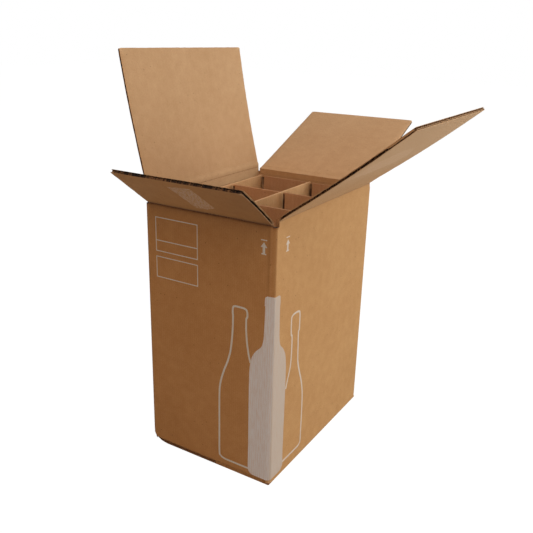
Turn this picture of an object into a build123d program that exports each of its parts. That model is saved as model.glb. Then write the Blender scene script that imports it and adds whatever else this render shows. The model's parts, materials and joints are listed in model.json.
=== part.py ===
from build123d import *
import os
from math import atan2, cos, radians, sin

# Shipping carton for six bottles, in millimetres.
# The origin is the centre of the base, Z is up, X crosses the short sides and Y the long ones.
# The short sides are called front (-Y) and back (+Y), the long sides left (-X) and right (+X).

# Folded body, measured over the outside of the board
body_width = 209.0
body_depth = 290.0
crease_height = 377.4
corner_radius = 5.5
slot_drop = 2.0

# Double-wall board of the body, and the thin air between layers that lie on each other
board = 4.6
layer_gap = 0.2

# Corrugation of that board: three flat liners hold a fine waved sheet outside and a coarse one inside
liner = 0.4
waved_sheet = 0.25
fine_flute_height = 1.1
fine_flute_pitch = 3.5
coarse_flute_pitch = 7.0
flute_run = 16.0

# Folds of the base
base_fold_radius = 3.0
base_flap_left = 114.0
base_flap_right = 94.0
base_flap_short = 104.0
base_side_gap_left = 5.8
base_side_gap_right = 1.5
base_seam = 1.0

# Glued tab that closes the sleeve of the body at its back left corner
tab_length = 34.0
tab_thickness = 2.6
tab_bottom_gap = 3.0
tab_top_gap = 1.6
tab_taper = 12.0
tab_fold_radius = 3.0

# Top flaps: length from the crease, and how far each one stands above level, opened outward
front_flap_length = 86.5
back_flap_length = 198.5
left_flap_length = 192.0
right_flap_length = 203.0
front_flap_angle = 37.0
back_flap_angle = 23.5
left_flap_angle = 77.1
right_flap_angle = 37.7
flap_side_clearance = 1.2
flap_corner_radius = 1.5
crease_mitre = 1.2

# Insert of crossed strips of single-wall board
strip_board = 3.0
slot_width = 6.0
slot_play = 1.0
slot_lead = 1.5
strip_end_web = 3.4
strip_end_gap = 1.2
tab_clearance = 0.7
strip_lean = 0.9
insert_headroom = 2.2

# Heights of the creases: the short flaps close first, then the right one, and the left one lies on top
crease_step = board + layer_gap
right_crease_height = crease_height + crease_step
left_crease_height = right_crease_height + crease_step

# The flap slots run a little past the lowest crease, down to this height
corner_top = crease_height - slot_drop

# Room inside the sleeve
inner_width = body_width - 2 * board
inner_depth = body_depth - 2 * board
inner_base = board + layer_gap
insert_floor = inner_base + board

# Half of the slot between two neighbouring flaps, wide enough to close inside the walls
corner_slot = board + flap_side_clearance
short_flap_width = body_width - 2 * corner_slot
long_flap_width = body_depth - 2 * corner_slot

# The insert stands clear of the glued tab on the left
insert_height = crease_height - board - insert_headroom - insert_floor
cross_length = inner_width - tab_thickness - 2 * tab_clearance
long_length = inner_depth - 2 * strip_end_gap
insert_shift = tab_thickness / 2
long_pitch = cross_length / 2 - strip_end_web - slot_width / 2
cross_pitch = (long_length / 2 - strip_end_web - slot_width / 2) / 1.5
long_places = [-long_pitch, 0.0, long_pitch]
cross_places = [-1.5 * cross_pitch, -0.5 * cross_pitch, 0.5 * cross_pitch, 1.5 * cross_pitch]
slot_depth = insert_height / 2 + slot_play


def plan_corners(sketch, corners, radius):
    """Rounds the corners of a plan outline that lie nearest to the given points."""
    chosen = []
    for x, y in corners:
        chosen.append(min(sketch.vertices(), key=lambda v: abs(v.X - x) + abs(v.Y - y)))
    return fillet(chosen, radius)


def sleeve_plan():
    """Plan of the four walls: three rolled corners, and a lapped joint at the back left."""
    half_width = body_width / 2
    half_depth = body_depth / 2
    rolled = [(-half_width, -half_depth), (half_width, -half_depth), (half_width, half_depth)]
    outside = plan_corners(Rectangle(body_width, body_depth), rolled, corner_radius)
    rolled_inside = [(x - board * (1 if x > 0 else -1), y - board * (1 if y > 0 else -1)) for x, y in rolled]
    inside = Rectangle(inner_width, inner_depth)
    if corner_radius > board:
        inside = plan_corners(inside, rolled_inside, corner_radius - board)
    # The back wall turns in behind the raw end of the left wall, and leaves a groove there.
    joint_x = -half_width + board
    groove = Pos(joint_x + tab_fold_radius / 2, half_depth - tab_fold_radius / 2) * Rectangle(
        tab_fold_radius, tab_fold_radius
    )
    bend = Pos(joint_x + tab_fold_radius, half_depth - tab_fold_radius) * Circle(tab_fold_radius)
    return outside - inside - (groove - bend)


def glued_tab():
    """The crushed tab of the back wall, glued flat inside the left wall, with tapered ends."""
    bottom = insert_floor + tab_bottom_gap
    top = crease_height - board - tab_top_gap
    root = body_depth / 2 - board
    tip = body_depth / 2 - tab_length
    outline = Plane.YZ * Polygon(
        (root, bottom), (root, top), (tip, top - tab_taper), (tip, bottom + tab_taper), align=None
    )
    tab = extrude(outline, tab_thickness)
    return Pos(-inner_width / 2, 0, 0) * tab


def base_fold(half_span, flap_length, level, top):
    """Section of a wall's foot that turns into its base flap, from outside in, at one level."""
    radius = base_fold_radius
    path = Polyline(
        (half_span - radius, level),
        (half_span - flap_length, level),
        (half_span - flap_length, level + board),
        (half_span - board, level + board),
        (half_span - board, top),
        (half_span, top),
        (half_span, level + radius),
    )
    turn = RadiusArc((half_span, level + radius), (half_span - radius, level), radius)
    return make_face(path + turn)


def folded_base(body):
    """The short sides' flaps lie inside, and the long sides' flaps close over them below."""
    half_width = body_width / 2
    half_depth = body_depth / 2
    foot = inner_base + base_fold_radius
    lap = 2 * board + foot
    for turn in (0, 180):
        cut = Pos(0, -half_depth, foot / 2) * Box(short_flap_width, 2 * board + 2 * layer_gap, foot)
        body -= Rot(0, 0, turn) * cut
    short_section = base_fold(half_depth, base_flap_short, inner_base, lap)
    short_side = extrude(Plane.YZ * short_section, short_flap_width / 2, both=True)
    body += short_side
    body += Rot(0, 0, 180) * short_side
    right_section = base_fold(half_width, base_flap_right, 0.0, lap)
    left_section = base_fold(half_width, base_flap_left - base_seam, 0.0, lap)
    body += extrude(Plane.XZ * right_section, half_depth - base_side_gap_right, both=True)
    left_side = extrude(Plane.XZ * left_section, half_depth - base_side_gap_left, both=True)
    body += Rot(0, 0, 180) * left_side
    return body


def wall_head(half_span, foot, height):
    """Section of a wall's top: its crease lies on the outside, and the board is mitred within."""
    return Polygon(
        (half_span, foot),
        (half_span, height),
        (half_span - board, height - crease_mitre * board),
        (half_span - board, foot),
        align=None,
    )


def box_body():
    """Four walls and the closed base, folded from one sheet and glued along one corner."""
    half_width = body_width / 2
    half_depth = body_depth / 2
    foot = crease_height - 2 * board
    walls = extrude(sleeve_plan(), corner_top - base_fold_radius)
    body = Pos(0, 0, base_fold_radius) * walls
    for turn in (0, 180):
        cut = Pos(0, half_depth, crease_height) * Box(short_flap_width, 2 * board, 2 * (crease_height - foot))
        body -= Rot(0, 0, turn) * cut
        head = extrude(Plane.YZ * wall_head(half_depth, foot, crease_height), short_flap_width / 2, both=True)
        body += Rot(0, 0, turn) * head
    for turn, height in ((0, right_crease_height), (180, left_crease_height)):
        cut = Pos(half_width, 0, crease_height) * Box(2 * board, long_flap_width, 2 * (crease_height - foot))
        body -= Rot(0, 0, turn) * cut
        head = extrude(Plane.XZ * wall_head(half_width, foot, height), long_flap_width / 2, both=True)
        body += Rot(0, 0, turn) * head
    body = folded_base(body)
    return body + glued_tab()


def flute_air(width, low, high, pitch):
    """Air in the section of one corrugated layer: a triangle under and over each leg of the waved sheet."""
    rise = high - low
    half_leg = waved_sheet / (2 * sin(atan2(rise, pitch / 2)))
    crest = 2 * rise * half_leg / pitch
    reach = pitch / 2 - half_leg
    waves = int((width - 2 * flap_corner_radius) / pitch)
    air = []
    for leg in range(2 * waves - 1):
        middle = (leg + 1 - waves) * pitch / 2
        base, tip = (low, high - crest) if leg % 2 == 0 else (high, low + crest)
        air.append(Polygon((middle - reach, base), (middle + reach, base), (middle, tip), align=None).face())
    return air


def open_flutes(length, width):
    """The flutes that stand open at a flap's cut tip, outer layer first, as deep as the eye can follow them."""
    fine_top = liner + fine_flute_height
    air = flute_air(width, liner, fine_top, fine_flute_pitch)
    air += flute_air(width, fine_top + liner, board - liner, coarse_flute_pitch)
    tip_plane = Plane(origin=(length - flute_run, 0, 0), x_dir=(0, 0, -1), z_dir=(1, 0, 0))
    return [Solid.extrude(tip_plane * face, Vector(flute_run, 0, 0)) for face in air]


def top_flap(outward, reach, height, length, width, angle):
    """One flap, from its crease on the wall's outside, opened to its angle above level."""
    lean = radians(angle)
    along = Vector(outward.X * cos(lean), outward.Y * cos(lean), sin(lean))
    inward = Vector(-outward.X * sin(lean), -outward.Y * sin(lean), cos(lean))
    hinge = outward * reach + Vector(0, 0, height)
    section = Polygon((0, 0), (length, 0), (length, board), (crease_mitre * board, board), align=None)
    place = Plane(origin=hinge, x_dir=along, z_dir=along.cross(inward))
    flap = extrude(section, width / 2, both=True)
    tips = [edge for edge in flap.edges().filter_by(Axis.Y) if edge.center().X > length - flap_corner_radius]
    tips = [edge for edge in tips if abs(edge.center().Z) > width / 2 - flap_corner_radius]
    flap = fillet(tips, flap_corner_radius)
    return place * (flap - open_flutes(length, width))


def front_flap():
    """The short front flap."""
    return top_flap(
        Vector(0, -1, 0), body_depth / 2, crease_height, front_flap_length, short_flap_width, front_flap_angle
    )


def back_flap():
    """The back flap, whose tip comes close to the front one's when both are closed."""
    return top_flap(
        Vector(0, 1, 0), body_depth / 2, crease_height, back_flap_length, short_flap_width, back_flap_angle
    )


def left_flap():
    """The left flap, which closes last and covers the mouth once more."""
    return top_flap(
        Vector(-1, 0, 0), body_width / 2, left_crease_height, left_flap_length, long_flap_width, left_flap_angle
    )


def right_flap():
    """The right flap, which covers the whole mouth over the short sides' flaps."""
    return top_flap(
        Vector(1, 0, 0), body_width / 2, right_crease_height, right_flap_length, long_flap_width, right_flap_angle
    )


def strip_slots(places, mouth, direction):
    """Outlines of one strip's slots, cut from its mouth edge, which each mouth meets with a lead."""
    half = slot_width / 2
    bottom = mouth + direction * slot_depth
    lead = mouth + direction * slot_lead
    beyond = mouth - direction * slot_lead
    slots = Sketch()
    for place in places:
        slots += Polygon(
            (place - half, bottom),
            (place + half, bottom),
            (place + half, lead),
            (place + half + 2 * slot_lead, beyond),
            (place - half - 2 * slot_lead, beyond),
            (place - half, lead),
            align=None,
        )
    return slots


def long_divider(place):
    """A strip that runs front to back, slotted from below where the cross strips pass."""
    top = insert_floor + insert_height
    plate = Pos(0, (insert_floor + top) / 2) * Rectangle(long_length, insert_height)
    outline = plate - strip_slots(cross_places, insert_floor, 1)
    strip = extrude(Plane.YZ * outline, strip_board / 2, both=True)
    return Pos(place + insert_shift - strip_lean, 0, 0) * strip


def cross_divider(place):
    """A strip that runs left to right, slotted from above to take the long strips."""
    top = insert_floor + insert_height
    plate = Pos(0, (insert_floor + top) / 2) * Rectangle(cross_length, insert_height)
    outline = plate - strip_slots(long_places, top, -1)
    strip = extrude(Plane.XZ * outline, strip_board / 2, both=True)
    return Pos(insert_shift, place, 0) * strip


parts = {
    "box_body": box_body(),
    "flap_front": front_flap(),
    "flap_back": back_flap(),
    "flap_left": left_flap(),
    "flap_right": right_flap(),
}
for name, place in zip(["left", "middle", "right"], long_places):
    parts["divider_long_" + name] = long_divider(place)
for name, place in zip(["front", "front_middle", "back_middle", "back"], cross_places):
    parts["divider_cross_" + name] = cross_divider(place)

os.makedirs("parts", exist_ok=True)
for name, solid in parts.items():
    export_step(solid, f"parts/{name}.step")
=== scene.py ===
import json
from math import atan2, ceil, cos, exp, hypot, pi, radians, sin

import bmesh
import bpy
from mathutils import Matrix, Vector, noise
from mathutils.geometry import delaunay_2d_cdt


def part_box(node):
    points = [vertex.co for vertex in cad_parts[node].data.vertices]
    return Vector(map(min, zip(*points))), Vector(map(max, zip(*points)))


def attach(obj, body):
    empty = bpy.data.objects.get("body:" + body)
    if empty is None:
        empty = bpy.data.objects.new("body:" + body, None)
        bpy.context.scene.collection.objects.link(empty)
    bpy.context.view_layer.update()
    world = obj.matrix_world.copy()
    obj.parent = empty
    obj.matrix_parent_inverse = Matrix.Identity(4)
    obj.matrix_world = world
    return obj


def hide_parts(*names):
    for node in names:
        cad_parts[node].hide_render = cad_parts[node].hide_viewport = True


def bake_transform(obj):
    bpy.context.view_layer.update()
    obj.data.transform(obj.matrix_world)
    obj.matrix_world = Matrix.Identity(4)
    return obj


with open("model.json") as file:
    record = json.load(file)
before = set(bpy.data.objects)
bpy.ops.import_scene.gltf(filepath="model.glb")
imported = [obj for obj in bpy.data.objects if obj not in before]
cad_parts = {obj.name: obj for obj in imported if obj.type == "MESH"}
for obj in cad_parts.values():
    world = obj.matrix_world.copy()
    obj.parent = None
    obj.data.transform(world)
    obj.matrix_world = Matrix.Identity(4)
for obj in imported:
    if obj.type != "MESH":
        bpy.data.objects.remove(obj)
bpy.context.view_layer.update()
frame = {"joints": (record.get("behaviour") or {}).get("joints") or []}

# The sleeve: one sheet of double-wall kraft board, rolled round three upright corners, lapped at the fourth.
# Its walls end in the scored creases of the top flaps, with short slots between them at the corners.
# The outer liner is the warmer paper, the inner one is paler and greyer, and the waved sheets are rough.
MILLIMETRE = 0.001


def paper_tone(red, green, blue):
    """Linear colour of a tone given in display values from 0 to 255."""
    tone = [channel / 255 for channel in (red, green, blue)]
    return tuple(c / 12.92 if c <= 0.04045 else ((c + 0.055) / 1.055) ** 2.4 for c in tone) + (1.0,)


def fill(socket, value):
    """Feeds a socket from another one, or sets it: to a plain value, or to a tone of three display values."""
    if isinstance(value, bpy.types.NodeSocket):
        socket.id_data.links.new(value, socket)
    elif socket.type == "RGBA" and len(value) == 3:
        socket.default_value = paper_tone(*value)
    else:
        socket.default_value = value


def add_node(tree, kind, inputs=(), **settings):
    """Adds a node with its settings made and its inputs filled, and gives back its outputs."""
    made = tree.nodes.new(kind)
    for name, value in settings.items():
        setattr(made, name, value)
    for name, value in dict(inputs).items():
        fill(made.inputs[name], value)
    return made.outputs


def calc(operation, *values):
    """One step of reckoning in the node tree of the sockets among the values."""
    linked = [value for value in values if isinstance(value, bpy.types.NodeSocket)]
    return add_node(linked[0].id_data, "ShaderNodeMath", enumerate(values), operation=operation)[0]


def blend_tone(share, first, second):
    return add_node(share.id_data, "ShaderNodeMix", {0: share, 6: first, 7: second}, data_type="RGBA")[2]


def ramp(value, low, high):
    """Share from 0 to 1 as a value goes from low to high."""
    limits = {"Value": value, "From Min": low, "From Max": high}
    return add_node(value.id_data, "ShaderNodeMapRange", limits, interpolation_type="SMOOTHSTEP")["Result"]


def mottle(flat, scale, detail=2.0, roughness=0.5):
    """Soft patches on the flat sheet."""
    inputs = {"Vector": flat, "Scale": scale, "Detail": detail, "Roughness": roughness}
    return add_node(flat.id_data, "ShaderNodeTexNoise", inputs, noise_dimensions="2D")["Fac"]


def fibres(flat, across, along, turn, seed):
    """Patches drawn out into short fibres that lie at one angle on the sheet."""
    places = {"Location": (seed, seed, 0), "Rotation": (0, 0, turn), "Scale": (across, along, 1)}
    laid = add_node(flat.id_data, "ShaderNodeMapping", {"Vector": flat, **places})[0]
    return mottle(laid, 1.0, 2.0, 0.6)


def new_paper(name):
    """A material, its node tree and the piece's own flat map, on which its pattern lies."""
    material = bpy.data.materials.new(name)
    material.use_nodes = True
    tree = material.node_tree
    return material, tree, add_node(tree, "ShaderNodeUVMap", uv_map="flat")["UV"]


def finish_paper(tree, tone, height, strength, relief, roughness, sheen):
    """Gives a paper its tone, its fine relief in metres and its sheen."""
    bump = add_node(tree, "ShaderNodeBump", {"Height": height, "Strength": strength, "Distance": relief})[0]
    looks = {"Base Color": tone, "Normal": bump, "Roughness": roughness, "Specular IOR Level": sheen}
    for label, value in looks.items():
        fill(tree.nodes["Principled BSDF"].inputs[label], value)


def flute_lines(flat, pitch, wander):
    """Waves from -1 to 1 across the sheet, one to each flute under it."""
    across = add_node(flat.id_data, "ShaderNodeSeparateXYZ", {0: flat})[0]
    return calc("SINE", calc("MULTIPLY_ADD", across, 2 * pi / (pitch * MILLIMETRE), wander))


def kraft(name, dark, light, rubbed_and_shade_tone, pitch, bars, broken=False):
    """Kraft paper of two tones, with short fibres, dark specks and faint bars over its flutes.

    It takes its darkest tone where the piece's rub value is high, which marks rubbed wear and also painted
    shade in creases, slots and inside the board, and frays pale where its scuff is.
    """
    material, tree, flat = new_paper(name)
    clouds = mottle(flat, 13.0, 4.0, 0.62)
    fine = fibres(flat, 420.0, 1700.0, 0.1, 3.0)
    crossed = fibres(flat, 1500.0, 380.0, 0.5, 11.0)
    pulp = calc("MULTIPLY_ADD", fine, 0.5, calc("MULTIPLY", crossed, 0.5))
    share = calc("MULTIPLY", ramp(pulp, 0.35, 0.65), 0.64)
    share = calc("MULTIPLY_ADD", ramp(clouds, 0.3, 0.7), 0.24, share)
    wave = flute_lines(flat, pitch, calc("MULTIPLY", clouds, 0.9))
    patchy = mottle(flat, 75.0)
    bar = calc("MULTIPLY", wave, calc("MULTIPLY", patchy, bars))
    share = calc("MULTIPLY_ADD", patchy, 0.7, share)
    share = calc("ADD", share, calc("SUBTRACT", bar, 0.35))
    tone = blend_tone(share, dark, light)
    spots = add_node(tree, "ShaderNodeTexVoronoi", {"Vector": flat, "Scale": 140.0}, voronoi_dimensions="2D")
    rare = add_node(tree, "ShaderNodeSeparateColor", {0: spots["Color"]})[0]
    near = ramp(spots["Distance"], 0.13, 0.07)
    speck = calc("MULTIPLY", near, calc("GREATER_THAN", rare, 0.975))
    tone = blend_tone(calc("MULTIPLY", speck, 0.5), tone, (0.04, 0.02, 0.01, 1.0))
    # The rub value darkens the paper: rubbed wear, and painted shade in creases, slots and inside the board.
    rub = add_node(tree, "ShaderNodeAttribute", attribute_name="rub")["Fac"]
    rub = calc("MULTIPLY", rub, ramp(clouds, 0.1, 0.6))
    if broken:
        bits = calc("SUBTRACT", mottle(flat, 480.0), 0.5)
        rub = ramp(calc("MULTIPLY_ADD", bits, 1.8, rub), 0.3, 0.65)
    tone = blend_tone(rub, tone, rubbed_and_shade_tone)
    scuff = add_node(tree, "ShaderNodeAttribute", attribute_name="scuff")["Fac"]
    frayed = ramp(calc("ADD", crossed, calc("MULTIPLY", scuff, 0.2)), 0.45, 0.7)
    tone = blend_tone(calc("MULTIPLY", scuff, frayed), tone, (205, 172, 132))
    height = calc("MULTIPLY_ADD", wave, calc("MULTIPLY", patchy, 1.2 * bars), pulp)
    rough = add_node(tree, "ShaderNodeMapRange", {"Value": pulp, "To Min": 0.72, "To Max": 0.92})
    finish_paper(tree, tone, height, 0.35, 0.00025, rough["Result"], 0.22)
    return material


fine_pitch = 3.5
coarse_pitch = 7.0
# The waved sheets' darkest tone is near black: painted shade inside the open flutes and along dark crease and
# slot lines.
fluting = kraft("fluting", (132, 98, 67), (168, 130, 92), (26, 16, 10), fine_pitch, 0.0, broken=True)
# Each liner's third tone is its rubbed tone, also used as painted shade in the creases, corner slots and flap
# gradients.
board_papers = [
    kraft("outer_liner", (178, 134, 85), (196, 154, 103), (108, 68, 41), fine_pitch, 0.16),
    kraft("inner_liner", (173, 138, 99), (191, 158, 119), (150, 108, 72), coarse_pitch, 0.05),
    fluting,
]
OUTSIDE, INSIDE, CUT = 0, 1, 2


def add_object(name, data):
    made = bpy.data.objects.new(name, data)
    bpy.context.scene.collection.objects.link(made)
    return made


class Blank:
    """A piece of board as it is built up: points in mm, each with its place on the flat sheet, and faces."""

    def __init__(self, papers):
        self.papers = papers
        self.points = []
        self.flat = []
        self.rub = []
        self.scuff = []
        self.faces = []
        self.finish = []

    def point(self, place, flat, rub=0.0, scuff=0.0):
        self.points.append(place)
        self.flat.append(flat)
        self.rub.append(rub)
        self.scuff.append(scuff)
        return len(self.points) - 1

    def face(self, corners, finish):
        self.faces.append(corners)
        self.finish.append(finish)

    def slab(self, across, along, surface, depths, finishes, wear_and_shade=lambda u, v: (0.0, 0.0), hidden=None):
        """A closed sheet between two depths of a surface, a function of the flat place and the depth.

        Wear gives the rub, which also carries painted shade, and the scuff at a place; hidden gives them on a
        face inside the board, where the rub is painted shade.
        """
        top, bottom, ends, sides = (*finishes, finishes[-1])[:4]
        grids = []
        for depth, finish in zip(depths, (top, bottom)):
            marking = hidden if hidden and finish == CUT else wear_and_shade
            grids.append([
                [self.point(surface(u, v, depth), (u, v), *marking(u, v)) for v in along] for u in across
            ])
        over, under = grids
        last_u = len(across) - 1
        last_v = len(along) - 1
        for i in range(last_u):
            for j in range(last_v):
                self.face((over[i][j], over[i + 1][j], over[i + 1][j + 1], over[i][j + 1]), top)
                self.face((under[i][j], under[i][j + 1], under[i + 1][j + 1], under[i + 1][j]), bottom)
        for i in range(last_u):
            self.face((under[i][0], under[i + 1][0], over[i + 1][0], over[i][0]), ends)
            self.face((over[i][last_v], over[i + 1][last_v], under[i + 1][last_v], under[i][last_v]), ends)
        for j in range(last_v):
            self.face((over[0][j], over[0][j + 1], under[0][j + 1], under[0][j]), sides)
            self.face((under[last_u][j], under[last_u][j + 1], over[last_u][j + 1], over[last_u][j]), sides)

    def add_mesh(self, mesh, place, flat, finish, shade=lambda co: 0.0):
        """The faces of a finished mesh, each of its points put in place by a function."""
        first = len(self.points)
        for vertex in mesh.vertices:
            self.point(place(vertex.co), flat(vertex.co), shade(vertex.co))
        for polygon in mesh.polygons:
            self.face([first + corner for corner in polygon.vertices], finish)

    def make(self, name, merge=0.0, smooth=35.0):
        """The finished piece, in metres, with its flat map, its wear and painted shade, and its faces turned
        outward.
        """
        mesh = bpy.data.meshes.new(name)
        mesh.from_pydata([Vector(p) * MILLIMETRE for p in self.points], [], self.faces)
        for paper in self.papers:
            mesh.materials.append(paper)
        mesh.polygons.foreach_set("material_index", self.finish)
        flat_map = mesh.uv_layers.new(name="flat")
        for loop in mesh.loops:
            flat_map.data[loop.index].uv = Vector(self.flat[loop.vertex_index]) * MILLIMETRE
        for label, values in (("rub", self.rub), ("scuff", self.scuff)):
            mesh.attributes.new(label, "FLOAT", "POINT").data.foreach_set("value", values)
        shape = bmesh.new()
        shape.from_mesh(mesh)
        if merge:
            bmesh.ops.remove_doubles(shape, verts=shape.verts, dist=merge * MILLIMETRE)
        bmesh.ops.recalc_face_normals(shape, faces=shape.faces)
        shape.to_mesh(mesh)
        shape.free()
        mesh.shade_smooth()
        mesh.set_sharp_from_angle(angle=radians(smooth))
        return add_object(name, mesh)


def spread(start, end, step):
    """Evenly spaced places from start to end, no further apart than step."""
    count = max(1, ceil(abs(end - start) / step))
    return [start + (end - start) * i / count for i in range(count + 1)]


def ease(value, start, end):
    """Share from 0 to 1 as a value goes from start to end, slow at both."""
    share = min(1.0, max(0.0, (value - start) / (end - start)))
    return share * share * (3 - 2 * share)


def uneven(x, y, seed):
    """Slow chance from -1 to 1 over a surface."""
    return noise.noise(Vector((x, y, seed)))


body_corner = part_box("box_body")[1]
half_width = body_corner.x / MILLIMETRE
half_depth = body_corner.y / MILLIMETRE
board = 4.6
liner = 0.4
fine_flute = 1.1
layer_gap = 0.2
crease_mitre = 1.2
flap_side_clearance = 1.2
corner_slot = board + flap_side_clearance
base_fold_radius = 3.0
slot_bottom = 375.4
creases = {joint["name"].split("_")[1]: joint["pos_m"][2] / MILLIMETRE for joint in frame["joints"]}
# Places along the unfolded sheet, q, run from the front right corner: front wall below 0, right wall above.
front_left, front_right, back_right = -2 * half_width, 0.0, 2 * half_depth
raw_end = front_left - 2 * half_depth
back_fold = back_right + 2 * half_width - board - base_fold_radius
walls = [
    ("left", raw_end, (-half_width, half_depth), (0, -1), (1, 0)),
    ("front", front_left, (-half_width, -half_depth), (1, 0), (0, 1)),
    ("right", front_right, (half_width, -half_depth), (0, 1), (-1, 0)),
    ("back", back_right, (half_width, half_depth), (-1, 0), (0, -1)),
]
rolled_corners = [(front_left, 0, 1), (front_right, 1, 2), (back_right, 2, 3)]
corner_radius = 5.5
front_radius_foot = 6.4
front_radius_top = 2.5
smallest_bend = 0.3
score_band = 9.5
corner_lean = 1.5


def wall_of(q):
    return [wall for wall in walls if q >= wall[1] - 1e-6][-1]


def corner_bend(corner, z):
    """Outer radius of an upright corner: the front one is sharper at the top than at the foot."""
    if corner == front_right:
        return front_radius_foot + (front_radius_top - front_radius_foot) * ease(z, 20, 250)
    return corner_radius


def corner_give(q, z):
    """The front corner is folded a little beside its score, so a narrow flat band leans back next to it."""
    share = max(1 - abs(q) / score_band, 0.0)
    return Vector((0, corner_lean * share * ease(z, 40, 260), 0))


def wall_hollow(q, z):
    """How far the wall gives inward: the slow unevenness of a carton that has been carried and pressed."""
    middle = ease(abs(q - front_left), 4, 40) * ease(abs(q - front_right), 4, 40)
    middle *= ease(abs(q - back_right), 4, 40) * ease(z, 4, 40) * ease(slot_bottom - z, 4, 40)
    return middle * (0.35 + 0.9 * uneven(q / 95, z / 120, 2.7))


def sleeve_point(q, z, depth):
    """A point of the sleeve, depth mm under its outer face."""
    depth += wall_hollow(q, z)
    name, begin, *ways = wall_of(q)
    start, run, inward = (Vector(way) for way in ways)
    length = min(max(q - begin, 0.0), 2 * max(half_width, half_depth))
    place = start + run * length + inward * depth
    for corner, before, after in rolled_corners:
        bend = corner_bend(corner, z)
        inner = max(bend - depth, smallest_bend)
        sharp = Vector(walls[after][2])
        if abs(q - corner) < bend:
            turn = (q - corner + bend) / (2 * bend) * pi / 2
            first, second = Vector(walls[before][4]), Vector(walls[after][4])
            place = sharp + (first + second) * (depth + inner)
            place -= first * inner * cos(turn) + second * inner * sin(turn)
            break
        if depth > 0 and abs(q - corner) < depth + inner:
            place = sharp + (run if q > corner else -run) * (depth + inner) + inward * depth
    return Vector((place.x, place.y, z)) + corner_give(q, z)


def foot_dent(place):
    """The foot of the front left corner is crushed in and up a little."""
    away = (place - Vector((-half_width, -half_depth, 2.0))).length
    return place + Vector((2.6, 1.6, 3.4)) * exp(-(away / 6.5) ** 2)


def in_slot(q):
    """True beside an upright corner, where the sleeve ends in a slot between two flaps."""
    ends = [front_left, front_right, back_right, raw_end, back_right + 2 * half_width]
    return min(abs(q - end) for end in ends) < corner_slot


def sleeve_top(q, depth):
    """Height of the sleeve's upper edge: a crease, mitred on the inside, or the bottom of a slot."""
    return slot_bottom if in_slot(q) else creases[wall_of(q)[0]] - crease_mitre * depth


score_depth = 0.9
# How deep each crease is grooved and how dark its band is; the darkening is partly pressed board, partly
# painted shade.
crease_mark = {"front": 1.0, "back": 0.6, "left": 0.3, "right": 0.25}
straight_foot = 24.0
straight_top = 356.0
foot_steps = 4
top_steps = 6
rows = [i - foot_steps for i in range(foot_steps)]
rows += spread(0.0, 1.0, 1 / 30) + [1.0 + (i + 1) / top_steps for i in range(top_steps)]


def sleeve_height(q, row, depth):
    """Height of a row of points: they close up towards the creases and the feet."""
    if row < 0:
        # The short walls fold in one layer higher than the long ones.
        folded_in = wall_of(q)[0] in ("front", "back") and not in_slot(q)
        foot = base_fold_radius + (board + layer_gap if folded_in else 0.0)
        return straight_foot + (foot - straight_foot) * (row / foot_steps) ** 2
    if row <= 1:
        return straight_foot + (straight_top - straight_foot) * row
    return straight_top + (sleeve_top(q, depth) - straight_top) * (1 - (2 - row) ** 1.6)


near_corner = [10.4, 9.5, 8.6, 7, 5.9, 5.7, 4.8, 4, 3.2, 2.4, 1.6, 0.8]
columns = [raw_end + corner_slot - 0.1, raw_end + corner_slot + 0.1]
for start, end in (
    (raw_end + 1.4, front_left - 14), (front_left + 14, front_right - 14),
    (front_right + 14, back_right - 14), (back_right + 14, back_fold),
):
    columns += spread(start, end, 9.0)
for corner, before, after in rolled_corners:
    columns += [corner - step for step in near_corner] + [corner] + [corner + step for step in near_corner]
columns = sorted(set(round(q, 3) for q in columns))


def sleeve_wear_and_shade(q, row):
    """Rubbed along the rolled corners and scuffed at the feet of the corners; darker below the creases,
    partly pressed and partly painted shade, and painted shade beside the front corner's fold and at the slot
    bottoms.
    """
    z = sleeve_height(q, row, 0)
    drop = sleeve_top(q, 0) - z
    mark = crease_mark[wall_of(q)[0]]
    # A darker band just below each crease: partly pressed board, partly painted shade.
    rub = max(0.3 * mark * exp(-(drop / 6) ** 2), mark * exp(-(drop / 1.6) ** 2))
    # Painted shade along the fold at the edge of the leaning band beside the front corner, growing up the
    # wall.
    rub = max(rub, 0.4 * exp(-((q + score_band) / 0.9) ** 2) * ease(z, 60, 200))
    scuff = 0.0
    for corner, before, after in rolled_corners:
        away = abs(q - corner)
        marking = 0.12 if corner == front_right else 0.3
        rub = max(rub, marking * exp(-(away / (corner_bend(corner, z) * 0.8)) ** 2))
        # Painted shade at the bottom of each corner slot.
        rub = max(rub, exp(-((away / 6) ** 2 + ((z - slot_bottom) / 1.6) ** 2)))
        scuff = max(scuff, exp(-((away / 5) ** 2 + (z / 16) ** 2)))
    return rub, scuff


def sleeve_face(q, row, depth):
    """A face of the sleeve, drawn in on the outside at the very top, where the scored crease begins."""
    z = sleeve_height(q, row, depth)
    groove = 0.0
    if depth == 0 and not in_slot(q):
        groove = score_depth * crease_mark[wall_of(q)[0]] * exp(-((sleeve_top(q, 0) - z) / 1.1) ** 2)
    return foot_dent(sleeve_point(q, z - crease_mitre * groove, depth + groove))


sleeve = Blank(board_papers)
sleeve.slab(columns, rows, sleeve_face, (0, board), (OUTSIDE, INSIDE, CUT), sleeve_wear_and_shade)
# Rows stand for heights: the flat map gets the real ones.
sleeve.flat = [(q, sleeve_height(q, row, 0)) for q, row in sleeve.flat]
liners = [(0.0, liner), (liner + fine_flute, 2 * liner + fine_flute), (board - liner, board)]
for top, bottom in liners:
    heights = spread(base_fold_radius, slot_bottom, 12.0)
    end_rows = [raw_end, raw_end + 1.0, raw_end + 1.9]
    sleeve.slab(end_rows, heights, sleeve_point, (top + 0.02, bottom - 0.02), (OUTSIDE, INSIDE, CUT))
sleeve_piece = sleeve.make("sleeve_walls", merge=0.001)
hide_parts("box_body")
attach(sleeve_piece, "root")

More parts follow.
